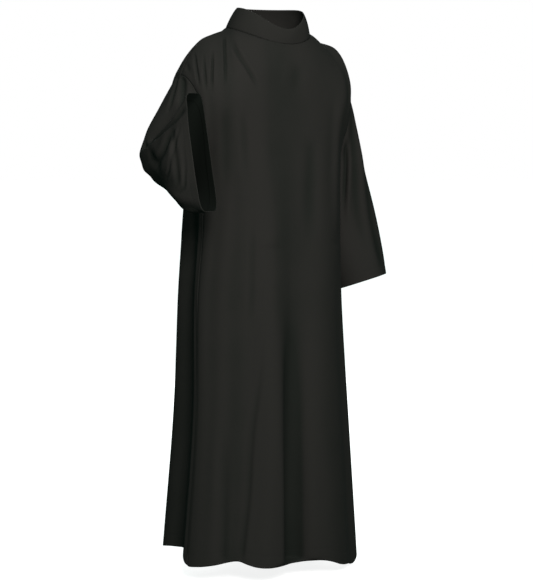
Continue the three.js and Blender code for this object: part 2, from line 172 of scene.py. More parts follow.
# Creases placed one by one. Places on a panel are (across, row), and on a sleeve (degrees from
# its top round the side that starts as the front, ring). Width and depth are millimetres, a
# negative depth is a ridge, and the ends say which share of the length fades in and out.
CREASES = {
    "front": table(
        "width depth ends places",
        (3.6, 4.4, (0.15, 0.4),
         ((-0.545, 0.5), (-0.545, 1.6), (-0.54, 2.6), (-0.54, 3.6), (-0.545, 4.9))),
        (12, 2.8, (0.4, 0.4),
         ((-0.56, 6.6), (-0.585, 8.5), (-0.615, 11.7), (-0.64, 13.5), (-0.685, 15.8))),
        (6, 5.2, (0.25, 0.4),
         ((-0.5, 1.0), (-0.415, 2.1), (-0.345, 3.1), (-0.285, 4.5), (-0.235, 5.8))),
        (3.2, 5.2, (0.25, 0.35), ((-0.655, 1.3), (-0.675, 2.5), (-0.69, 3.4), (-0.725, 5.2))),
        (3.6, 3.8, (0.3, 0.4), ((-0.745, 1.2), (-0.775, 2.7), (-0.785, 3.4), (-0.815, 4.6))),
        (4, 4, (0.3, 0.4), ((-0.82, 0.3), (-0.86, 1.5), (-0.88, 2.6), (-0.9, 3.8))),
        (5, 3, (0.3, 0.4), ((-0.92, 0.1), (-0.935, 0.7), (-0.95, 1.6))),
        (18, 2.4, (0.4, 0.4), ((0.07, 2.3), (0.04, 3.6), (0.02, 4.8), (0.0, 7.0))),
        (9, 2.6, (0.4, 0.4), ((-0.39, 7.2), (-0.385, 9.6), (-0.39, 11.8), (-0.42, 14.6))),
        (18, 3.4, (0.4, 0.4), ((0.095, 10.2), (0.1, 12.4), (0.105, 14.6), (0.11, 17.0))),
        (15, -3.5, (0.3, 0.4),
         ((0.47, 5.0), (0.45, 8.0), (0.45, 11.4), (0.45, 14.0), (0.5, 17.0))),
        (14, 3, (0.3, 0.4), ((0.72, 1.4), (0.69, 3.6), (0.66, 6.0), (0.64, 8.5))),
        (9, 2.2, (0.4, 0.4), ((0.86, 3.0), (0.82, 5.5), (0.8, 8.5))),
        (14, 7, (0.7, 0.02),
         ((-0.085, 18.5), (-0.09, 21.0), (-0.1, 23.8), (-0.1, 26.2), (-0.1, 29.0))),
        (29, 22, (0.8, 0.02),
         ((0.01, 18.0), (0.0, 20.5), (-0.01, 23.5), (-0.005, 26.2), (0.0, 29.0))),
        (7, 2.6, (0.4, 0.05),
         ((-0.3, 19.4), (-0.34, 21.4), (-0.405, 23.8), (-0.42, 26.3), (-0.46, 29.0))),
        (12, 2, (0.4, 0.05), ((-0.655, 22.6), (-0.64, 24.6), (-0.62, 26.6), (-0.6, 29.0))),
        (8, 2, (0.4, 0.3), ((-0.37, 14.6), (-0.385, 17.4), (-0.41, 20.0))),
    ),
    "back": table(
        "width depth ends places",
        (16, 4.5, (0.3, 0.4),
         ((-0.4, 1.4), (-0.37, 3.6), (-0.33, 6.4), (-0.3, 9.5), (-0.28, 13.0))),
        (14, 4, (0.3, 0.4), ((0.42, 1.6), (0.4, 4.0), (0.36, 7.0), (0.34, 10.0), (0.33, 13.5))),
        (8, 2.8, (0.3, 0.5), ((-0.62, 1.6), (-0.61, 3.4), (-0.59, 5.8), (-0.6, 8.0))),
        (9, 2.6, (0.3, 0.5), ((0.64, 1.8), (0.61, 4.2), (0.6, 7.0))),
        (6, 2.4, (0.3, 0.4), ((-0.84, 1.4), (-0.82, 3.6), (-0.83, 6.0), (-0.86, 8.2))),
        (24, 3.2, (0.4, 0.4), ((0.02, 2.4), (0.04, 6.0), (0.05, 9.5), (0.04, 13.0))),
        (18, 3, (0.4, 0.3), ((-0.1, 9.0), (-0.11, 13.0), (-0.12, 17.0), (-0.12, 21.0))),
        (6, 4.5, (0.1, 0.03),
         ((-0.98, 12.5), (-0.98, 16.0), (-0.98, 20.0), (-0.98, 24.5), (-0.98, 29.0))),
    ),
    "sleeve_left": table(
        "width depth ends places",
        (14, 5, (0.3, 0.3), ((62, 0.35), (70, 1.0), (82, 1.8), (88, 2.7), (84, 3.6))),
        (7, 10, (0.25, 0.5),
         ((105, 0.45), (114, 0.8), (113, 1.35), (113, 2.0), (115, 2.4), (118, 2.9))),
        (16, 4.5, (0.4, 0.2), ((42, 1.9), (46, 2.6), (48, 3.3), (46, 4.0))),
        (12, 4, (0.3, 0.3), ((236, 0.6), (232, 1.5), (236, 2.5), (240, 3.5))),
        (15, 4.5, (0.4, 0.2), ((296, 1.2), (292, 2.1), (288, 3.0), (290, 4.0))),
        (9, 3, (0.3, 0.5), ((336, 0.3), (332, 0.9), (326, 1.6))),
        (10, -3, (0.4, 0.4), ((100, 1.2), (104, 2.0), (106, 2.9))),
    ),
    "sleeve_right": table(
        "width depth ends places",
        (7, 5.5, (0.2, 0.2),
         ((330, 2.4), (326, 3.0), (321, 3.9), (316, 5.1), (307, 5.6), (299, 6.0))),
        (11, 6.5, (0.3, 0.3), ((266, 4.1), (275, 4.44), (284, 4.76), (294, 5.04), (302, 5.45))),
        (5, 2.4, (0.3, 0.3), ((250, 4.5), (262, 4.9), (277, 5.34), (291, 5.75))),
        (15, 4, (0.3, 0.3), ((292, 3.7), (282, 3.95), (272, 4.2), (263, 4.55))),
        (8, 3, (0.3, 0.3), ((304, 5.2), (284, 5.32), (264, 5.32), (248, 5.2))),
        (5, 2, (0.3, 0.3), ((233, 5.0), (245, 5.35), (258, 5.56), (272, 5.78))),
        (8, 5, (0.1, 0.3), ((8, 0.0), (24, 0.28), (38, 0.64), (52, 1.1))),
        (5, 4, (0.1, 0.4), ((352, 0.0), (4, 0.4), (14, 0.9), (22, 1.5))),
        (12, 5, (0.3, 0.3), ((60, 1.8), (76, 2.5), (90, 3.1), (100, 3.8))),
        (10, 5, (0.3, 0.3), ((84, 1.6), (98, 2.3), (112, 3.0), (120, 3.6))),
        (11, 4.5, (0.3, 0.3), ((120, 1.4), (132, 2.3), (140, 3.1), (150, 3.9))),
        (12, 4, (0.3, 0.3), ((226, 1.2), (232, 2.0), (236, 2.8), (240, 3.6))),
        (14, 3.5, (0.4, 0.2), ((214, 3.8), (212, 4.5), (210, 5.2), (208, 6.0))),
    ),
}
BANK = 0.3  # height of the soft banks beside a crease, as a share of its depth
BANK_PLACE = 1.9  # and how many widths away they stand
CREASE_STEPS = 6  # points on a crease's line for each of its places
SEAM_CALM = 10  # creases and waves start this far from a seam, in millimetres

# Long, slight waves down each panel and along each sleeve: count, start, sway and height
WAVES = {
    "front": ((2.6, 0.7, 0.05, 1.1), (4.3, 2.1, 0.08, 0.9), (7.1, 4.4, 0.06, 0.6)),
    "back": ((2.2, 1.3, 0.06, 1.3), (4.9, 0.4, 0.07, 1.0), (7.9, 3.2, 0.05, 0.7)),
    "sleeve_left": ((3, 0.6, 0.3, 0.9), (5, 2.4, 0.4, 0.7)),
    "sleeve_right": ((3, 1.9, 0.3, 0.9), (5, 0.2, 0.4, 0.7)),
}

WAVE_SWAYS = 5  # how often a wave sways on its way down, in radians

# The pressed line at a hem's upper edge: its depth, how far it spreads, and the width over
# which the cloth becomes double
PRESSED_DEPTH = 0.35
PRESSED_WIDTH = 2.5
HEM_STEP = 2

MERGE_DISTANCE = 1e-6


# Shapes of the seams and sections

def points(x, y, level):
    """An array of points from x, y and a level above the ground."""
    x, y, level = np.broadcast_arrays(x, y, level)
    return np.stack((x, y, level - SHOULDER_LEVEL), -1).astype(float)


def filled(value, square):
    """cos or sin with its corners filled, for ovals of a given squareness."""
    return np.sign(value) * np.abs(value) ** (2 / square)


def smooth_step(share):
    """0 to 1 as share goes from 0 to 1, level at both ends."""
    s = np.clip(share, 0, 1)
    return s * s * (3 - 2 * s)


def length_of(vectors):
    """Lengths of vectors, one column wide."""
    return np.linalg.norm(vectors, axis=-1, keepdims=True)


def neck_point(oval, angle):
    """Points of the neck seam or of the collar's rim, angle from the centre front."""
    dip = ((1 + np.cos(angle)) / 2) ** oval["dip_power"]
    rise = (1 - np.cos(angle)) / 2
    level = oval["level"] - oval["front_drop"] * dip + oval["back_rise"] * rise
    return points(
        oval["half_width"] * np.sin(angle),
        oval["centre_y"] - oval["half_depth"] * np.cos(angle),
        level - oval["side_tilt"] * np.sin(angle),
    )


def ring_point(ring, angle):
    """Points of a sleeve ring, angle from its top through the side that starts as the front."""
    top, bottom = points(*ring["top"]), points(*ring["bottom"])
    lower_front = (np.cos(angle) < 0) & (np.sin(angle) > 0)
    square = np.where(lower_front, ring["front_square"], ring["square"])
    up = (top - bottom) / 2 * filled(np.cos(angle), square)[..., None]
    side = np.array(ring["side"]) * filled(np.sin(angle), square)[..., None]
    return (top + bottom) / 2 + up + side


def smooth_through(knots, stops, at, first_slope=None):
    """Points at the places in at, on smooth curves that pass the stops at the knots."""
    knots, at, stops = np.array(knots, float), np.array(at, float), np.array(stops)
    last = len(knots) - 1
    before = np.maximum(np.arange(last + 1) - 1, 0)
    after = np.minimum(np.arange(last + 1) + 1, last)
    shape = (-1,) + (1,) * (stops.ndim - 1)
    slopes = (stops[after] - stops[before]) / (knots[after] - knots[before]).reshape(shape)
    if first_slope is not None:
        slopes[0] = first_slope
    i = np.clip(np.searchsorted(knots, at, side="right") - 1, 0, last - 1)
    span = (knots[i + 1] - knots[i]).reshape(shape)
    s = (at - knots[i]).reshape(shape) / span
    return (
        stops[i] * (1 + 2 * s) * (1 - s) ** 2
        + stops[i + 1] * s * s * (3 - 2 * s)
        + slopes[i] * s * (1 - s) ** 2 * span
        + slopes[i + 1] * s * s * (s - 1) * span
    )


def shoulder_seam(side, at):
    """Points of a shoulder seam, at from 0 at the neck to 1 at the armhole."""
    start = neck_point(NECK, np.array(SIDES[side] * math.pi / 2))
    end = ring_point(SLEEVE_RINGS[side][0], np.array(0.0))
    stops = [start, *(points(*p) for p in SHOULDER_SEAM[side]), end]
    return smooth_through(np.linspace(0, 1, len(stops)), stops, at)


def top_edge(panel, across):
    """The top edge of a panel: shoulder seam, neck, shoulder seam."""
    angle = np.clip(across / NECK_SHARE, -1, 1) * math.pi / 2
    edge = neck_point(NECK, angle if panel == "front" else math.pi - angle)
    beyond = (np.abs(across) - NECK_SHARE) / (1 - NECK_SHARE)
    for side, sign in SIDES.items():
        there = across * sign > NECK_SHARE
        if there.any():
            edge[there] = shoulder_seam(side, beyond[there])
    return edge


def armhole_edge(panel, side, rows):
    """The armhole's edge of a panel at its rows."""
    angle = FACING[panel] * math.pi * np.asarray(rows) / UNDERARM_ROW
    return ring_point(SLEEVE_RINGS[side][0], angle)


def chest_point(panel, across):
    """Points of the chest section, whose ends lie on the armholes."""
    left, right = (armhole_edge(panel, side, CHEST_ROW) for side in SIDES)
    chest = np.where(across[:, None] > 0, left, right)
    sideways = filled(np.sin(np.abs(across) * math.pi / 2), CHEST["square"])
    forward = filled(np.cos(across * math.pi / 2), CHEST["square"])[:, None]
    if panel == "front":
        middle = points(0, -CHEST["front"], CHEST["level"])
    else:
        middle = points(0, CHEST["back"], CHEST["back_level"])
    chest[:, 0] *= sideways
    chest[:, 1:] += (middle[1:] - chest[:, 1:]) * forward
    return chest


def section_point(section, panel, across):
    """Points of a section from the underarm down."""
    width = np.where(across > 0, section["left"], section["right"])
    depth = -section["front"] if panel == "front" else section["back"]
    front_right = (across < 0) & (panel == "front")
    square = np.where(front_right, section["front_right_square"], section["square"])
    sideways = filled(np.sin(across * math.pi / 2), square)
    forward = filled(np.maximum(np.cos(across * math.pi / 2), 0), square)
    return points(
        width * sideways,
        section["seam_y"] + (depth - section["seam_y"]) * forward,
        section["edge_level"] + (section["level"] - section["edge_level"]) * forward,
    )


def leaving(panel, across):
    """Directions in which the cloth leaves the top edge. It spreads outwards beside the neck."""
    outer = (np.abs(across) - NECK_SHARE) / (1 - NECK_SHARE)
    angle = across / NECK_SHARE * math.pi / 2
    beside = np.sin(angle) ** 2
    on_shoulder = outer > 0
    sideways = np.where(on_shoulder, (1 - outer) ** 2 * np.sign(across), np.sin(angle))
    forward = np.where(on_shoulder, 1, NECK_FORWARD + (1 - NECK_FORWARD) * beside)
    inner_down, outer_down = SHOULDER_DOWN
    down = np.where(
        on_shoulder,
        inner_down + (outer_down - inner_down) * outer,
        NECK_DOWN[panel] * np.cos(angle) + inner_down * beside,
    )
    direction = np.stack((SPREAD * sideways, -FACING[panel] * forward, -down), -1)
    return direction / length_of(direction)


def turn_between(a, b):
    """Degrees from one angle round the body to another, the short way."""
    return (a - b + 180) % 360 - 180


def fold_height(angle, level):
    """How far the deep folds move the cloth outwards."""
    total = 0
    for fold in BODY_FOLDS:
        below = (WAIST_LEVEL - level) / (WAIST_LEVEL - HEM_LEVEL)
        centre = fold["waist_angle"] + (fold["hem_angle"] - fold["waist_angle"]) * below
        away = turn_between(angle, centre) / fold["half_angle"]
        start, waist = fold["start"], fold["waist"]
        upper = waist * smooth_step((start - level) / (start - WAIST_LEVEL))
        started = smooth_step((start - level) / FOLD_RUN)
        lower = started * (waist + (fold["hem"] - waist) * below)
        total = total + np.where(below > 0, lower, upper) * np.exp(-away * away)
    return total


def hem_shift(angle, level):
    """How far the hem is drawn up or hangs low, fading out towards the underarm."""
    low = np.clip((UNDERARM_LEVEL - level) / (UNDERARM_LEVEL - HEM_LEVEL), 0, 1)
    once = np.array(HEM_SHIFTS, float)
    at, height = np.concatenate([once + (turn, 0) for turn in (-360, 0, 360)]).T
    slope = np.gradient(height, at)
    slope[1:-1] = (height[2:] - height[:-2]) / (at[2:] - at[:-2])
    turned = turn_between(angle, 0)
    i = np.searchsorted(at, turned, side="right") - 1
    span = at[i + 1] - at[i]
    s = (turned - at[i]) / span
    return low * (
        height[i] * (1 + 2 * s) * (1 - s) ** 2
        + height[i + 1] * s * s * (3 - 2 * s)
        + slope[i] * s * (1 - s) ** 2 * span
        + slope[i + 1] * s * s * (s - 1) * span
    )


def loose_panel(panel, across, rows):
    """Points of a panel before its sides meet the armholes."""
    top, chest = top_edge(panel, across), chest_point(panel, across)
    slope = leaving(panel, across) * LEAVING_SPEED * length_of(top - chest) / CHEST_ROW
    knots = [0, CHEST_ROW] + [section["row"] for section in BODY_SECTIONS]
    stops = [top, chest] + [section_point(s, panel, across) for s in BODY_SECTIONS]
    grid = smooth_through(knots, stops, rows, slope)
    angle = 90 * across if panel == "front" else 180 - 90 * across
    level = grid[..., 2] + SHOULDER_LEVEL
    outward = grid * (1, FOLD_FLATNESS, 0)
    grid += outward / length_of(outward) * fold_height(angle, level)[..., None]
    grid[..., 2] += hem_shift(angle, level)
    return grid


def panel_surface(panel, across, rows):
    """Points of a panel, a row of columns for each of rows."""
    grid = loose_panel(panel, across, rows)
    held_rows = np.minimum(rows, UNDERARM_ROW)
    fade = np.clip(1 - np.maximum(rows - UNDERARM_ROW, 0) / EDGE_FADE, 0, 1) ** 2
    for side, sign in SIDES.items():
        ends = loose_panel(panel, np.array([float(sign)]), held_rows)[:, 0]
        step = (armhole_edge(panel, side, held_rows) - ends) * fade[:, None]
        near = np.clip(1 - (1 - across * sign) / EDGE_REACH, 0, 1) ** 2
        grid += step[:, None] * near[None, :, None]
    return grid


def sleeve_surface(side, degrees, along):
    """Points of a sleeve, a ring of them for each of along."""
    rings = SLEEVE_RINGS[side]
    stops = [ring_point(ring, np.radians(degrees)) for ring in rings]
    return smooth_through(range(len(rings)), stops, along)


# Cloth on those surfaces

def run_along(grid, axis):
    """Distance along the grid's lines from the first point of each."""
    steps = np.linalg.norm(np.diff(grid, axis=axis), axis=-1)
    start = np.zeros_like(np.take(steps, [0], axis))
    return np.concatenate((start, np.cumsum(steps, axis)), axis)


def outward_of(grid, turned):
    """Unit normals of a grid."""
    normal = np.cross(np.gradient(grid, axis=1), np.gradient(grid, axis=0))
    normal /= length_of(normal)
    return -normal if turned else normal


def crease_depth(grid, crease, spots):
    """How deep a crease through its spots is at each point of a grid."""
    knots = np.linspace(0, 1, len(spots))
    line = smooth_through(knots, spots, np.linspace(0, 1, CREASE_STEPS * len(spots)))
    nearest = np.full(grid.shape[:2], np.inf)
    share = np.zeros(grid.shape[:2])
    for i in range(len(line) - 1):
        step = line[i + 1] - line[i]
        along = np.clip(((grid - line[i]) @ step) / (step @ step), 0, 1)
        away = np.linalg.norm(grid - line[i] - along[..., None] * step, axis=-1)
        closer = away < nearest
        nearest = np.where(closer, away, nearest)
        share = np.where(closer, (i + along) / (len(line) - 1), share)
    away = nearest / crease["width"]
    profile = np.exp(-(away**2)) - BANK * np.exp(-((away - BANK_PLACE) ** 2))
    start, end = crease["ends"]
    fade = smooth_step(share / start) * smooth_step((1 - share) / end)
    return crease["depth"] * profile * fade


def waves(piece, across, down):
    """Long, slight waves over a piece, across and down both from 0 to 1."""
    total = 0
    for count, start, sway, height in WAVES[piece]:
        phase = 2 * math.pi * (count * across + sway * np.sin(WAVE_SWAYS * down + start)) + start
        total = total + height * np.sin(phase)
    return total


class Cloth:
    """A piece's grid of points in millimetres, with what is needed to make its mesh."""

    def __init__(self, piece, grid, creases, turned, closed):
        self.turned = turned
        self.closed = closed
        down, across = np.meshgrid(
            np.linspace(0, 1, grid.shape[0]), np.linspace(0, 1, grid.shape[1]), indexing="ij"
        )
        self.u = run_along(grid, 1)
        self.v = run_along(grid, 0)
        normal = outward_of(grid, turned)
        if closed:
            joined = normal[:, 0] + normal[:, -1]
            normal[:, 0] = normal[:, -1] = joined / length_of(joined)
        height = waves(piece, across, down)
        for crease, spots in creases:
            height = height - crease_depth(grid, crease, spots)
        if closed:
            ends = (height[:, 0] + height[:, -1]) / 2
            height[:, 0] = height[:, -1] = ends
        self.crease_shade_and_wear = height
        self.normal = normal
        self.grid = grid

    def from_sides(self):
        """Distance from the nearer side edge."""
        return np.minimum(self.u, self.u[:, -1:] - self.u)

    def from_bottom(self):
        """Distance from the bottom edge."""
        return self.v[-1:] - self.v

    def finish(self, hem_depth, sizes):
        """Presses the creases in, and rolls the sewn edges inwards."""
        seam = np.minimum(self.v, self.from_sides())
        edge = np.clip(1 - seam / (sizes.seam_width / MM), 0, 1) ** 2
        above_hem = self.from_bottom() - hem_depth
        self.hem = smooth_step(0.5 - above_hem / HEM_STEP)
        pressed = np.exp(-((above_hem / PRESSED_WIDTH) ** 2))
        calm = smooth_step(self.v / SEAM_CALM) * smooth_step(self.from_sides() / SEAM_CALM)
        height = self.crease_shade_and_wear * calm - sizes.seam_depth / MM * edge - PRESSED_DEPTH * pressed
        self.grid = self.grid + self.normal * height[..., None]


def uneven(start, stretches, detail):
    """Places from start on. Each stretch is an end place and the number of cells up to it."""
    places = [np.array([float(start)])]
    for end, cells in stretches:
        steps = np.linspace(start, end, max(1, round(cells * detail)) + 1)
        places.append(steps[1:])
        start = end
    return np.concatenate(places)


# Ends of stretches and cells in each. Cells are small at sharp creases and at the hem.
PANEL_ACROSS = {
    "front": ((-0.9, 8), (-0.15, 88), (0.6, 48), (1, 30)),
    "back": ((1, 136),),
}
PANEL_DOWN = ((UNDERARM_ROW, 80), (28.4, 134), (HEM_ROW, 12))
SLEEVE_ROUND = {
    "left": ((540, 128),),
    "right": ((230, 16), (345, 84), (540, 56)),
}
SLEEVE_ALONG = {
    "left": ((3.8, 130), (4, 14)),
    "right": ((5.66, 170), (6, 14)),
}


def cloth_on(surface, piece, across, down, turned, closed):
    """A piece's cloth on a surface, at places across and down, with its creases."""
    creases = []
    for crease in CREASES[piece]:
        spots = [surface(np.array([a]), np.array([b]))[0, 0] for a, b in crease["places"]]
        creases.append((crease, np.stack(spots)))
    return Cloth(piece, surface(across, down), creases, turned, closed)


def panel_cloth(panel, sizes):
    """The cloth of a panel, open at its side edges."""
    cloth = cloth_on(
        partial(panel_surface, panel),
        panel,
        uneven(-1, PANEL_ACROSS[panel], sizes.detail),
        uneven(0, PANEL_DOWN, sizes.detail),
        turned=panel == "front",
        closed=False,
    )
    cloth.finish(sizes.hem_depth / MM, sizes)
    return cloth


def sleeve_cloth(side, sizes):
    """The cloth of a sleeve, closed along its lower side."""
    cloth = cloth_on(
        partial(sleeve_surface, side),
        f"sleeve_{side}",
        uneven(180, SLEEVE_ROUND[side], sizes.detail),
        uneven(0, SLEEVE_ALONG[side], sizes.detail),
        turned=side == "right",
        closed=True,
    )
    cloth.finish(sizes.cuff_hem_depth / MM, sizes)
    return cloth


def link_mesh(name, bm):
    """An object with the mesh of bm, which is then freed."""
    mesh = bpy.data.meshes.new(name)
    bm.to_mesh(mesh)
    bm.free()
    piece = bpy.data.objects.new(name, mesh)
    bpy.context.scene.collection.objects.link(piece)
    return piece


def grid_mesh(grid, u, v, crease_shade_and_wear, weights=None):
    """A smooth mesh on a grid of points, and the grid cell (row, column) of each vertex."""
    rows, columns = grid.shape[:2]
    bm = bmesh.new()
    uv_layer = bm.loops.layers.uv.new("weave")
    shade_and_wear_layer = bm.verts.layers.float.new("crease_shade_and_wear")
    if weights is not None:
        weight_layer = bm.verts.layers.deform.verify()
    bmesh.ops.create_grid(bm, x_segments=columns - 1, y_segments=rows - 1, size=0.5)
    cells = {}
    for vert in bm.verts:
        i = round((vert.co.x + 0.5) * (columns - 1))
        j = round((vert.co.y + 0.5) * (rows - 1))
        cells[vert] = (j, i)
    for face in bm.faces:
        face.smooth = True
        for loop in face.loops:
            cell = cells[loop.vert]
            loop[uv_layer].uv = (u[cell] * MM, v[cell] * MM)
    for vert, cell in cells.items():
        vert.co = grid[cell] * MM
        vert[shade_and_wear_layer] = crease_shade_and_wear[cell]
        if weights is not None:
            vert[weight_layer][0] = weights[cell]
    return bm, cells


def close_sides(bm, cells):
    """Merges the grid's last column into its first, as round a tube."""
    last = max(i for j, i in cells.values())
    sides = [vert for vert, (j, i) in cells.items() if i in (0, last)]
    bmesh.ops.remove_doubles(bm, verts=sides, dist=MERGE_DISTANCE)


def cloth_object(name, cloth):
    """A piece with the cloth's points, texture places and hem weights."""
    bm, cells = grid_mesh(cloth.grid, cloth.u, -cloth.v, cloth.crease_shade_and_wear, cloth.hem)
    if cloth.turned:
        bmesh.ops.reverse_faces(bm, faces=bm.faces)
    if cloth.closed:
        close_sides(bm, cells)
    piece = link_mesh(name, bm)
    piece.vertex_groups.new(name="hem")
    return piece


def thicken(piece, sizes):
    """Gives the cloth its thickness, twice as much at the turned-up hem, and its inside,
    coloured dark with painted shade.
    """
    piece.data.materials.append(shaded_inside_material())
    wall = piece.modifiers.new("thickness", "SOLIDIFY")
    wall.thickness = 2 * sizes.cloth_thickness
    wall.offset = -1
    wall.vertex_group = "hem"
    wall.thickness_vertex_group = 0.5
    wall.use_quality_normals = True
    wall.material_offset = 1


def dress(piece, node, slot):
    """Puts a finished piece in place of its solid."""
    piece.data.materials.append(cloth_material(slot))
    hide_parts(node)
    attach(piece, BODY)


# Stitches, each a small ellipsoid

STITCH_HALF_WIDTH = 0.32
STITCH_HALF_LENGTH = 0.34  # as a share of the distance from stitch to stitch
STITCH_INSET = 2  # the row's distance below the hem's upper edge


def stitch_line(cloth, height):
    """Points and outward directions round a piece, at a height above its bottom edge."""
    below = cloth.from_bottom()
    spots, outward = [], []
    for i in range(cloth.grid.shape[1]):
        row = np.interp(-height, -below[:, i], np.arange(len(below)))
        j = min(int(row), len(below) - 2)
        share = row - j
        spots.append(cloth.grid[j, i] * (1 - share) + cloth.grid[j + 1, i] * share)
        outward.append(cloth.normal[j, i])
    return np.array(spots), np.array(outward)


def stitch_object(name, cloths, height, sizes):
    """Short, slim stitches in a row on each cloth, a little proud of it."""
    bm = bmesh.new()
    for cloth in cloths:
        spots, outward = stitch_line(cloth, height)
        run = run_along(spots[None], 1)[0]
        step = sizes.stitch_step / MM
        for at in np.arange(step, run[-1] - step, step):
            centre = [np.interp(at, run, spots[:, k]) for k in range(3)]
            ahead = [np.interp(at + 1, run, spots[:, k]) for k in range(3)]
            out = Vector([np.interp(at, run, outward[:, k]) for k in range(3)]).normalized()
            along = (Vector(ahead) - Vector(centre)).normalized()
            turn = Matrix((along, out.cross(along), out)).transposed().to_4x4()
            half_length = STITCH_HALF_LENGTH * step
            size = Matrix.Diagonal((half_length, STITCH_HALF_WIDTH, STITCH_HALF_WIDTH, 1))
            matrix = Matrix.Scale(MM, 4) @ Matrix.Translation(Vector(centre)) @ turn @ size
            bmesh.ops.create_icosphere(bm, subdivisions=1, radius=1, matrix=matrix)
    for face in bm.faces:
        face.smooth = True
    return link_mesh(name, bm)


# Collar

COLLAR_RISE_CELLS = 14
COLLAR_ROLL_CELLS = 6
COLLAR_BULGE = 3.0
COLLAR_RUB = 2.0  # wear on the fold, on the scale of the creases' heights

# Dents at angles round the collar. Width and lean, from foot to rim, are degrees too.
COLLAR_CREASES = table(
    "angle width depth lean",
    (-58, 9, 1.6, 10),
    (-24, 12, 1.8, -8),
    (18, 14, 2.0, 6),
    (63, 8, 1.6, -6),
    (112, 10, 1.5, 4),
    (-121, 12, 1.6, -4),
    (165, 14, 1.2, 3),
)
DENT_START = 0.15  # share of a dent's rise that lies below the collar's foot


def collar_grid(sizes):
    """Rings of the collar: up its outside, over the soft fold, and down its inside."""
    degrees = np.linspace(180, 540, sizes.collar_columns + 1)
    angle = np.radians(degrees)
    foot, rim = neck_point(NECK, angle), neck_point(RIM, angle)
    half = sizes.collar_thickness / MM / 2
    outward = np.stack((np.sin(angle), -np.cos(angle), 0 * angle), -1)
    up = (rim - foot) / length_of(rim - foot)
    across = outward - up * (outward * up).sum(-1, keepdims=True)
    across /= length_of(across)
    rings = []
    rise = np.linspace(0, 1, COLLAR_RISE_CELLS + 1)
    for sign in (1, -1):
        for t in rise if sign > 0 else rise[::-1]:
            middle = foot + (rim - up * half - foot) * t - across * half
            bulge = COLLAR_BULGE * 4 * t * (1 - t)
            dent = 0
            for crease in COLLAR_CREASES:
                away = turn_between(degrees, crease["angle"] + crease["lean"] * t)
                dent = dent + crease["depth"] * np.exp(-((away / crease["width"]) ** 2))
            shift = bulge - dent * math.sin(math.pi * min(t + DENT_START, 1))
            rings.append(middle + across * (shift + sign * half)[..., None])
        if sign > 0:
            centre = rings[-1] - across * half
            for turn in np.linspace(0, math.pi, COLLAR_ROLL_CELLS + 1)[1:-1]:
                rings.append(centre + half * (across * math.cos(turn) + up * math.sin(turn)))
    return np.stack(rings)


def collar_object(name, sizes):
    """The collar as one closed band, rubbed on its fold."""
    grid = collar_grid(sizes)
    rows, columns = grid.shape[:2]
    from_fold = np.abs(np.arange(rows) - (rows - 1) / 2)
    on_fold = from_fold < COLLAR_ROLL_CELLS / 2 + 1
    crease_shade_and_wear = np.repeat(on_fold[:, None] * COLLAR_RUB, columns, 1)
    bm, cells = grid_mesh(grid, run_along(grid, 1), run_along(grid, 0), crease_shade_and_wear)
    close_sides(bm, cells)
    ends = [edge for edge in bm.edges if edge.is_boundary]
    bmesh.ops.bridge_loops(bm, edges=ends)
    bmesh.ops.recalc_face_normals(bm, faces=bm.faces)
    for face in bm.faces:
        face.smooth = True
    return link_mesh(name, bm)


# Materials

# Shares of the cloth's red, green and blue for painted shade in its folds and rubbed ridges
PAINTED_FOLD_SHADE = (0.64, 0.78, 0.7)
ON_RIDGES = (1.26, 1.22, 1.2)
FOLD_SHADE_AND_RUB_RANGE = (-5, 4)  # heights of the creases that get the painted fold shade and the rubbed wear in full
TONE_START = 0.15  # the tone up to which the cloth has the full painted shade of its deepest folds

# The twill's surface: its lines lean by degrees, and the heights and weights of the rest
# are shares of the lines' own. Slubs, rumples, mottling and grain are noises, each with its
# scale and detail. A relief is a strength and a distance in metres.
TWILL_LEAN = 63
RIB_WANDER = 0.6
WARP_PITCH = 0.62
WARP_HEIGHT = 0.4
SLUBS = (900, 3)
SLUB_HEIGHT = 0.8
WEAVE_RELIEF = (0.35, 0.00012)
RUMPLES = (38, 3)
RUMPLE_RELIEF = (0.3, 0.0012)
MOTTLING = (7, 4)
MOTTLING_WEIGHT = 0.5
LINE_WEIGHT = 0.25
SHEEN_ROUGHNESS = 0.45
SHEEN_TINT = (0.9, 0.93, 0.92, 1)

# The cloth's inside, coloured with painted shade, and the thread
INSIDE_ROUGHNESS = 0.95
THREAD_ROUGHNESS = 0.6
DULL_GLOSS = 0.02
GRAIN = (700, 2)
GRAIN_SHARES = ((0.8,) * 3, (1.2,) * 3)


def feed(tree, node, inputs):
    """Sets a node's inputs to values, or links them to other nodes' sockets."""
    for name, value in inputs.items():
        if isinstance(value, bpy.types.NodeSocket):
            tree.links.new(value, node.inputs[name])
        else:
            node.inputs[name].default_value = value


def add_node(tree, kind, output, inputs, **settings):
    """A new node's output."""
    node = tree.nodes.new(f"ShaderNode{kind}")
    for name, value in settings.items():
        setattr(node, name, value)
    feed(tree, node, inputs)
    return node.outputs[output]


def times_plus(tree, a, factor, b):
    """a times factor plus b."""
    return add_node(tree, "Math", "Value", {0: a, 1: factor, 2: b}, operation="MULTIPLY_ADD")


def noise(tree, source, scale, detail):
    """Soft noise over a source of places."""
    inputs = {"Vector": source, "Scale": scale, "Detail": detail}
    return add_node(tree, "TexNoise", "Fac", inputs)


def ribs(tree, source, lean, pitch):
    """Even ribs a pitch apart."""
    turned = {"Vector": source, "Rotation": (0, 0, math.radians(lean))}
    inputs = {
        "Vector": add_node(tree, "Mapping", "Vector", turned),
        "Scale": math.pi / 10 / pitch,
        "Distortion": RIB_WANDER,
        "Detail": 1,
    }
    return add_node(tree, "TexWave", "Fac", inputs)


def relief(tree, height, strength_and_distance, before=None):
    """A bumped normal, on top of another one if there is one before it."""
    strength, distance = strength_and_distance
    inputs = {"Height": height, "Strength": strength, "Distance": distance}
    if before is not None:
        inputs["Normal"] = before
    return add_node(tree, "Bump", "Normal", inputs)


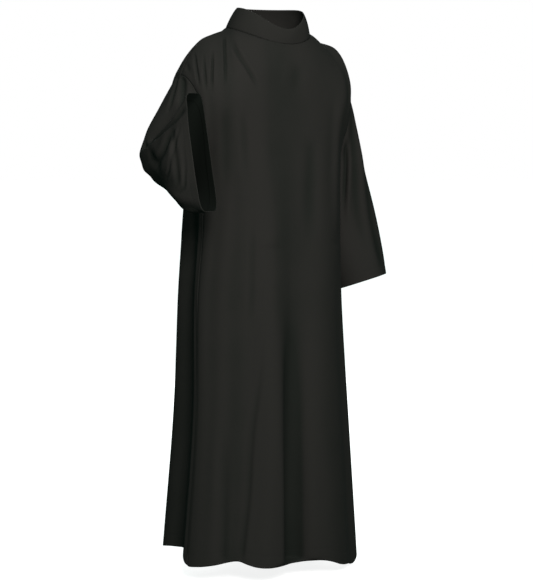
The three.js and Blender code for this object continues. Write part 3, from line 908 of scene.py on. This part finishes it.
def tones(tree, factor, colour, shares, start=0.0):
    """A colour that a factor moves from one share of it to another."""
    ramp = tree.nodes.new("ShaderNodeValToRGB")
    stops = ramp.color_ramp.elements
    stops[0].position = start
    for stop, share in zip(stops, shares):
        stop.color = (*(c * s for c, s in zip(colour, share)), 1)
    tree.links.new(factor, ramp.inputs["Fac"])
    return ramp.outputs["Color"]


def new_material(name):
    """A material with its node tree and its shader."""
    material = bpy.data.materials.new(name)
    material.use_nodes = True
    return material, material.node_tree, material.node_tree.nodes["Principled BSDF"]


def twill(name, finish):
    """Near-black fine twill: woven bump from the piece's own map, soft sheen, painted shade in
    folds, slight wear.
    """
    material, tree, shader = new_material(name)
    weave = add_node(tree, "UVMap", "UV", {}, uv_map="weave")
    spot = add_node(tree, "TexCoord", "Object", {})
    lines = ribs(tree, weave, TWILL_LEAN, finish.twill_pitch)
    warp = ribs(tree, weave, 0, finish.twill_pitch * WARP_PITCH)
    threads = times_plus(tree, warp, WARP_HEIGHT, lines)
    woven = times_plus(tree, noise(tree, weave, *SLUBS), SLUB_HEIGHT, threads)
    bump = relief(tree, woven, WEAVE_RELIEF)
    bump = relief(tree, noise(tree, spot, *RUMPLES), RUMPLE_RELIEF, bump)

    # Painted shade: the deeper a crease, the darker and greener the cloth; ridges are lighter
    # with rubbed wear.
    crease_shade_and_wear = add_node(tree, "Attribute", "Fac", {}, attribute_name="crease_shade_and_wear")
    low, high = FOLD_SHADE_AND_RUB_RANGE
    shade_and_rub_inputs = {"Value": crease_shade_and_wear, "From Min": low, "From Max": high}
    tone = add_node(tree, "MapRange", "Result", shade_and_rub_inputs)
    tone = times_plus(tree, noise(tree, spot, *MOTTLING), MOTTLING_WEIGHT, tone)
    tone = times_plus(tree, lines, LINE_WEIGHT, tone)
    colour = tones(tree, tone, finish.cloth_colour, (PAINTED_FOLD_SHADE, ON_RIDGES), TONE_START)
    feed(tree, shader, {
        "Base Color": colour,
        "Normal": bump,
        "Roughness": finish.roughness,
        "Specular IOR Level": finish.specular,
        "Sheen Weight": finish.sheen,
        "Sheen Roughness": SHEEN_ROUGHNESS,
        "Sheen Tint": SHEEN_TINT,
    })
    return material


def plain_finish(name, colour, roughness):
    """A dull finish with a fine grain in its colour."""
    material, tree, shader = new_material(name)
    spot = add_node(tree, "TexCoord", "Object", {})
    grain = noise(tree, spot, *GRAIN)
    feed(tree, shader, {
        "Base Color": tones(tree, grain, colour, GRAIN_SHARES),
        "Roughness": roughness,
        "Specular IOR Level": DULL_GLOSS,
    })
    return material


def shaded_inside_material():
    """The inside of the cloth, darker and greener as painted shade, made when it is first asked
    for.
    """
    name, colour = "twill_inside_shade", bpy.context.scene.alb_finish.inside_shade_colour
    return bpy.data.materials.get(name) or plain_finish(name, colour, INSIDE_ROUGHNESS)


def thread_material():
    """Black sewing thread, made when it is first asked for."""
    name, colour = "thread", bpy.context.scene.alb_finish.thread_colour
    return bpy.data.materials.get(name) or plain_finish(name, colour, THREAD_ROUGHNESS)


def cloth_material(slot):
    """The black twill of a material slot, made when it is first asked for."""
    name = slot.replace("cloth", "twill")
    return bpy.data.materials.get(name) or twill(name, bpy.context.scene.alb_finish)


# Sizes and colours that a user would change

def a_length(name, description, default, low, high):
    """A length in metres."""
    return FloatProperty(
        name=name, description=description, default=default, min=low, max=high,
        subtype="DISTANCE", unit="LENGTH", precision=5,
    )


def a_share(name, description, default, low=0):
    """A share of a whole."""
    return FloatProperty(
        name=name, description=description, default=default, min=low, max=1, subtype="FACTOR",
    )


def a_colour(name, description, default):
    """A colour by its red, green and blue."""
    return FloatVectorProperty(
        name=name, description=description, default=default, min=0, max=1, size=3,
        subtype="COLOR",
    )


def a_strength(name, description, default=1):
    """A light's strength, 1 for a lamp as its table has it."""
    return FloatProperty(name=name, description=description, default=default, min=0, max=10)


class AlbSizes(bpy.types.PropertyGroup):
    """Sizes of the cloth and its sewing."""

    cloth_thickness: a_length("Cloth", "Thickness of one layer of cloth", 0.0009, 0.0003, 0.003)
    collar_thickness: a_length("Collar", "Thickness of the doubled collar", 0.0028, 0.001, 0.006)
    hem_depth: a_length("Hem", "Depth of the turned-up hem", 0.032, 0.01, 0.06)
    cuff_hem_depth: a_length("Cuff hem", "Depth of the turned-in cuff hem", 0.025, 0.01, 0.05)
    seam_depth: a_length("Seam depth", "How far a sewn edge turns in", 0.0005, 0, 0.004)
    seam_width: a_length("Seam width", "Width of the cloth that turns in", 0.0035, 0.001, 0.02)
    stitch_step: a_length("Stitch", "Distance from stitch to stitch", 0.0036, 0.002, 0.01)
    detail: a_share("Detail", "Fineness of the cloth's cells, 1 for the finished part", 1, 0.25)
    collar_columns: IntProperty(
        name="Collar cells", description="Cells round the collar", default=180, min=36, max=240,
    )


class AlbFinish(bpy.types.PropertyGroup):
    """Colour and finish of the cloth."""

    cloth_colour: a_colour("Cloth", "Colour of the black cloth", (0.0137, 0.0133, 0.0125))
    # The inside's colour is painted shade: darker and greener than the cloth.
    inside_shade_colour: a_colour("Inside", "Colour of the cloth's inside", (0.0045, 0.0056, 0.0046))
    thread_colour: a_colour("Thread", "Colour of the sewing thread", (0.018, 0.018, 0.017))
    roughness: a_share("Roughness", "Roughness of the cloth", 0.88)
    specular: a_share("Gloss", "Strength of the cloth's gloss", 0.01)
    sheen: a_share("Sheen", "Strength of the nap's sheen", 0.004)
    twill_pitch: a_length("Twill", "Distance between the twill's lines", 0.0011, 0.0003, 0.005)


class AlbStage(bpy.types.PropertyGroup):
    """Light and view."""

    key: a_strength("Key light", "Strength of the main light")
    back: a_strength("Back light", "Strength of the light behind")
    top: a_strength("Top light", "Strength of the light from above")
    fill_strength: a_strength("Fill", "Strength of the light from all round", 0.18)
    lens: FloatProperty(
        name="Lens", description="Focal length", default=108.06, min=20, max=300,
        subtype="DISTANCE_CAMERA", unit="CAMERA",
    )


# The cloth of each piece once it is made, for the stitching
SEWN = {}


# Operators

class ALB_OT_panels(bpy.types.Operator):
    """Front and back panels of the body"""

    bl_idname = "alb.panels"
    bl_label = "Front and back panels"

    def execute(self, context):
        sizes = context.scene.alb_sizes
        for panel in FACING:
            SEWN[panel] = panel_cloth(panel, sizes)
            piece = cloth_object(f"{panel}_panel", SEWN[panel])
            dress(piece, panel, "body_cloth")
            thicken(piece, sizes)
        return {"FINISHED"}


class ALB_OT_sleeves(bpy.types.Operator):
    """Hanging left sleeve and raised right sleeve"""

    bl_idname = "alb.sleeves"
    bl_label = "Sleeves"

    def execute(self, context):
        sizes = context.scene.alb_sizes
        for side in SIDES:
            SEWN[side] = sleeve_cloth(side, sizes)
            piece = cloth_object(f"{side}_sleeve", SEWN[side])
            dress(piece, f"sleeve_{side}", "sleeve_cloth")
            thicken(piece, sizes)
        return {"FINISHED"}


class ALB_OT_collar(bpy.types.Operator):
    """Folded stand collar"""

    bl_idname = "alb.collar"
    bl_label = "Collar"

    def execute(self, context):
        piece = collar_object("collar_band", context.scene.alb_sizes)
        dress(piece, "collar", "collar_cloth")
        return {"FINISHED"}


class ALB_OT_stitching(bpy.types.Operator):
    """Stitches that hold the hem and the two cuff hems"""

    bl_idname = "alb.stitching"
    bl_label = "Stitching"

    @classmethod
    def poll(cls, context):
        return SEWN.keys() >= {*FACING, *SIDES}

    def execute(self, context):
        sizes = context.scene.alb_sizes
        for name, pieces, depth, slot in (
            ("hem_stitches", ("front", "back"), sizes.hem_depth, "body_cloth"),
            ("left_cuff_stitches", ("left",), sizes.cuff_hem_depth, "sleeve_cloth"),
            ("right_cuff_stitches", ("right",), sizes.cuff_hem_depth, "sleeve_cloth"),
        ):
            cloths = [SEWN[part] for part in pieces]
            piece = stitch_object(name, cloths, depth / MM - STITCH_INSET, sizes)
            piece.data.materials.append(thread_material())
            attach(piece, BODY)
        return {"FINISHED"}


# The stage, with places in metres. Azimuths are degrees from the +Y axis, and a lamp looks
# down by its elevation. Sizes are metres, or degrees for the sun.
FLOOR_LEVEL = -1.452
FLOOR_RADIUS = 40
FLOOR_GREY = 0.55
FLOOR_ROUGHNESS = 0.9
FLOOR_GLOW = 0.85
FLOOR_BOUNCE = (0.1, 0.15, 0.13)
FILL_COLOUR = (0.28, 1, 0.82)
WHITE = (1, 1, 1, 1)
LAMPS = table(
    "name kind power size azimuth elevation place colour",
    ("key_light", "AREA", 218, 1.2, -25, 1, (-1.56, -3.38, 0.8), (1, 0.98, 0.965)),
    ("back_light", "AREA", 90, 2.4, 150, 14, (2.0, 3.5, 0.5), (1, 1, 1)),
    ("top_light", "SUN", 0.9, 70, -20, 78, (0, 0, 0), (1, 1, 1)),
)
CAMERA_PLACE = (-2.619, -4.025, -0.235)
CAMERA_TURN = (-33, -5.22)
SENSOR_HEIGHT = 36
FARTHEST_SEEN = 200


def aim(azimuth, elevation):
    """The rotation of a lamp or camera that looks along an azimuth, up by an elevation."""
    return math.radians(90 + elevation), 0, math.radians(azimuth)


def by_ray(tree, lighting, seen, output):
    """Joins a shader that lights the scene with one that is seen directly."""
    is_seen = add_node(tree, "LightPath", "Is Camera Ray", {})
    mixed = add_node(tree, "MixShader", "Shader", {"Fac": is_seen, 1: lighting, 2: seen})
    feed(tree, tree.nodes[output], {"Surface": mixed})


def add_floor():
    """A wide pale floor that looks evenly lit and sends little light back."""
    bm = bmesh.new()
    bmesh.ops.create_circle(bm, cap_ends=True, segments=96, radius=FLOOR_RADIUS)
    bmesh.ops.translate(bm, verts=bm.verts, vec=(0, 0, FLOOR_LEVEL))
    floor = link_mesh("floor", bm)
    paint, tree, shader = new_material("floor_paint")
    feed(tree, shader, {
        "Base Color": (FLOOR_GREY, FLOOR_GREY, FLOOR_GREY, 1),
        "Roughness": FLOOR_ROUGHNESS,
        "Specular IOR Level": 0,
        "Emission Color": WHITE,
        "Emission Strength": FLOOR_GLOW,
    })
    bounce = add_node(tree, "BsdfDiffuse", "BSDF", {"Color": (*FLOOR_BOUNCE, 1)})
    by_ray(tree, bounce, shader.outputs["BSDF"], "Material Output")
    floor.data.materials.append(paint)


def add_world(scene, fill_strength):
    """Soft light from all round in front of a white backdrop."""
    world = bpy.data.worlds.new("studio")
    world.use_nodes = True
    scene.world = world
    tree = world.node_tree
    light = tree.nodes["Background"]
    feed(tree, light, {"Color": (*FILL_COLOUR, 1), "Strength": fill_strength})
    backdrop = add_node(tree, "Background", "Background", {"Color": WHITE})
    by_ray(tree, light.outputs["Background"], backdrop, "World Output")


def add_lamp(scene, lamp, strength):
    """A lamp from its row of the table, its power times a strength."""
    light = bpy.data.lights.new(lamp["name"], lamp["kind"])
    light.energy = lamp["power"] * strength
    light.color = lamp["colour"]
    if lamp["kind"] == "SUN":
        light.angle = math.radians(lamp["size"])
    else:
        light.size = lamp["size"]
    source = bpy.data.objects.new(lamp["name"], light)
    source.location = lamp["place"]
    source.rotation_euler = aim(lamp["azimuth"], -lamp["elevation"])
    source.visible_camera = False
    scene.collection.objects.link(source)


def add_camera(scene, focal_length):
    """The camera at the photo's viewing angle."""
    lens = bpy.data.cameras.new("camera")
    lens.sensor_fit = "VERTICAL"
    lens.sensor_height = SENSOR_HEIGHT
    lens.lens = focal_length
    lens.clip_end = FARTHEST_SEEN
    camera = bpy.data.objects.new("camera", lens)
    camera.location = CAMERA_PLACE
    camera.rotation_euler = aim(*CAMERA_TURN)
    scene.collection.objects.link(camera)
    scene.camera = camera


class ALB_OT_stage(bpy.types.Operator):
    """Pale floor, soft studio light and the camera"""

    bl_idname = "alb.stage"
    bl_label = "Stage"

    def execute(self, context):
        scene, settings = context.scene, context.scene.alb_stage
        scene.view_settings.view_transform = "Standard"
        add_floor()
        add_world(scene, settings.fill_strength)
        for lamp, strength in zip(LAMPS, (settings.key, settings.back, settings.top)):
            add_lamp(scene, lamp, strength)
        add_camera(scene, settings.lens)
        return {"FINISHED"}


class ALB_PT_sidebar(bpy.types.Panel):
    """Sizes, finish and steps of the alb"""

    bl_idname = "ALB_PT_sidebar"
    bl_label = "Alb"
    bl_space_type = "VIEW_3D"
    bl_region_type = "UI"
    bl_category = "Alb"

    def draw(self, context):
        scene = context.scene
        for settings in (scene.alb_sizes, scene.alb_finish, scene.alb_stage):
            box = self.layout.box()
            for name in settings.bl_rna.properties.keys():
                if name not in ("rna_type", "name"):
                    box.prop(settings, name)
        for operator in OPERATORS:
            self.layout.operator(operator.bl_idname)


OPERATORS = (
    ALB_OT_panels,
    ALB_OT_sleeves,
    ALB_OT_collar,
    ALB_OT_stitching,
    ALB_OT_stage,
)
SETTINGS = {"alb_sizes": AlbSizes, "alb_finish": AlbFinish, "alb_stage": AlbStage}


def register():
    for cls in (*SETTINGS.values(), *OPERATORS, ALB_PT_sidebar):
        bpy.utils.register_class(cls)
    for name, cls in SETTINGS.items():
        setattr(bpy.types.Scene, name, PointerProperty(type=cls))


def unregister():
    for name in SETTINGS:
        delattr(bpy.types.Scene, name)
    for cls in reversed((*SETTINGS.values(), *OPERATORS, ALB_PT_sidebar)):
        bpy.utils.unregister_class(cls)


def main():
    register()
    bpy.ops.alb.panels()
    bpy.ops.alb.sleeves()
    bpy.ops.alb.collar()
    bpy.ops.alb.stitching()
    bpy.ops.alb.stage()


if __name__ == "__main__":
    main()
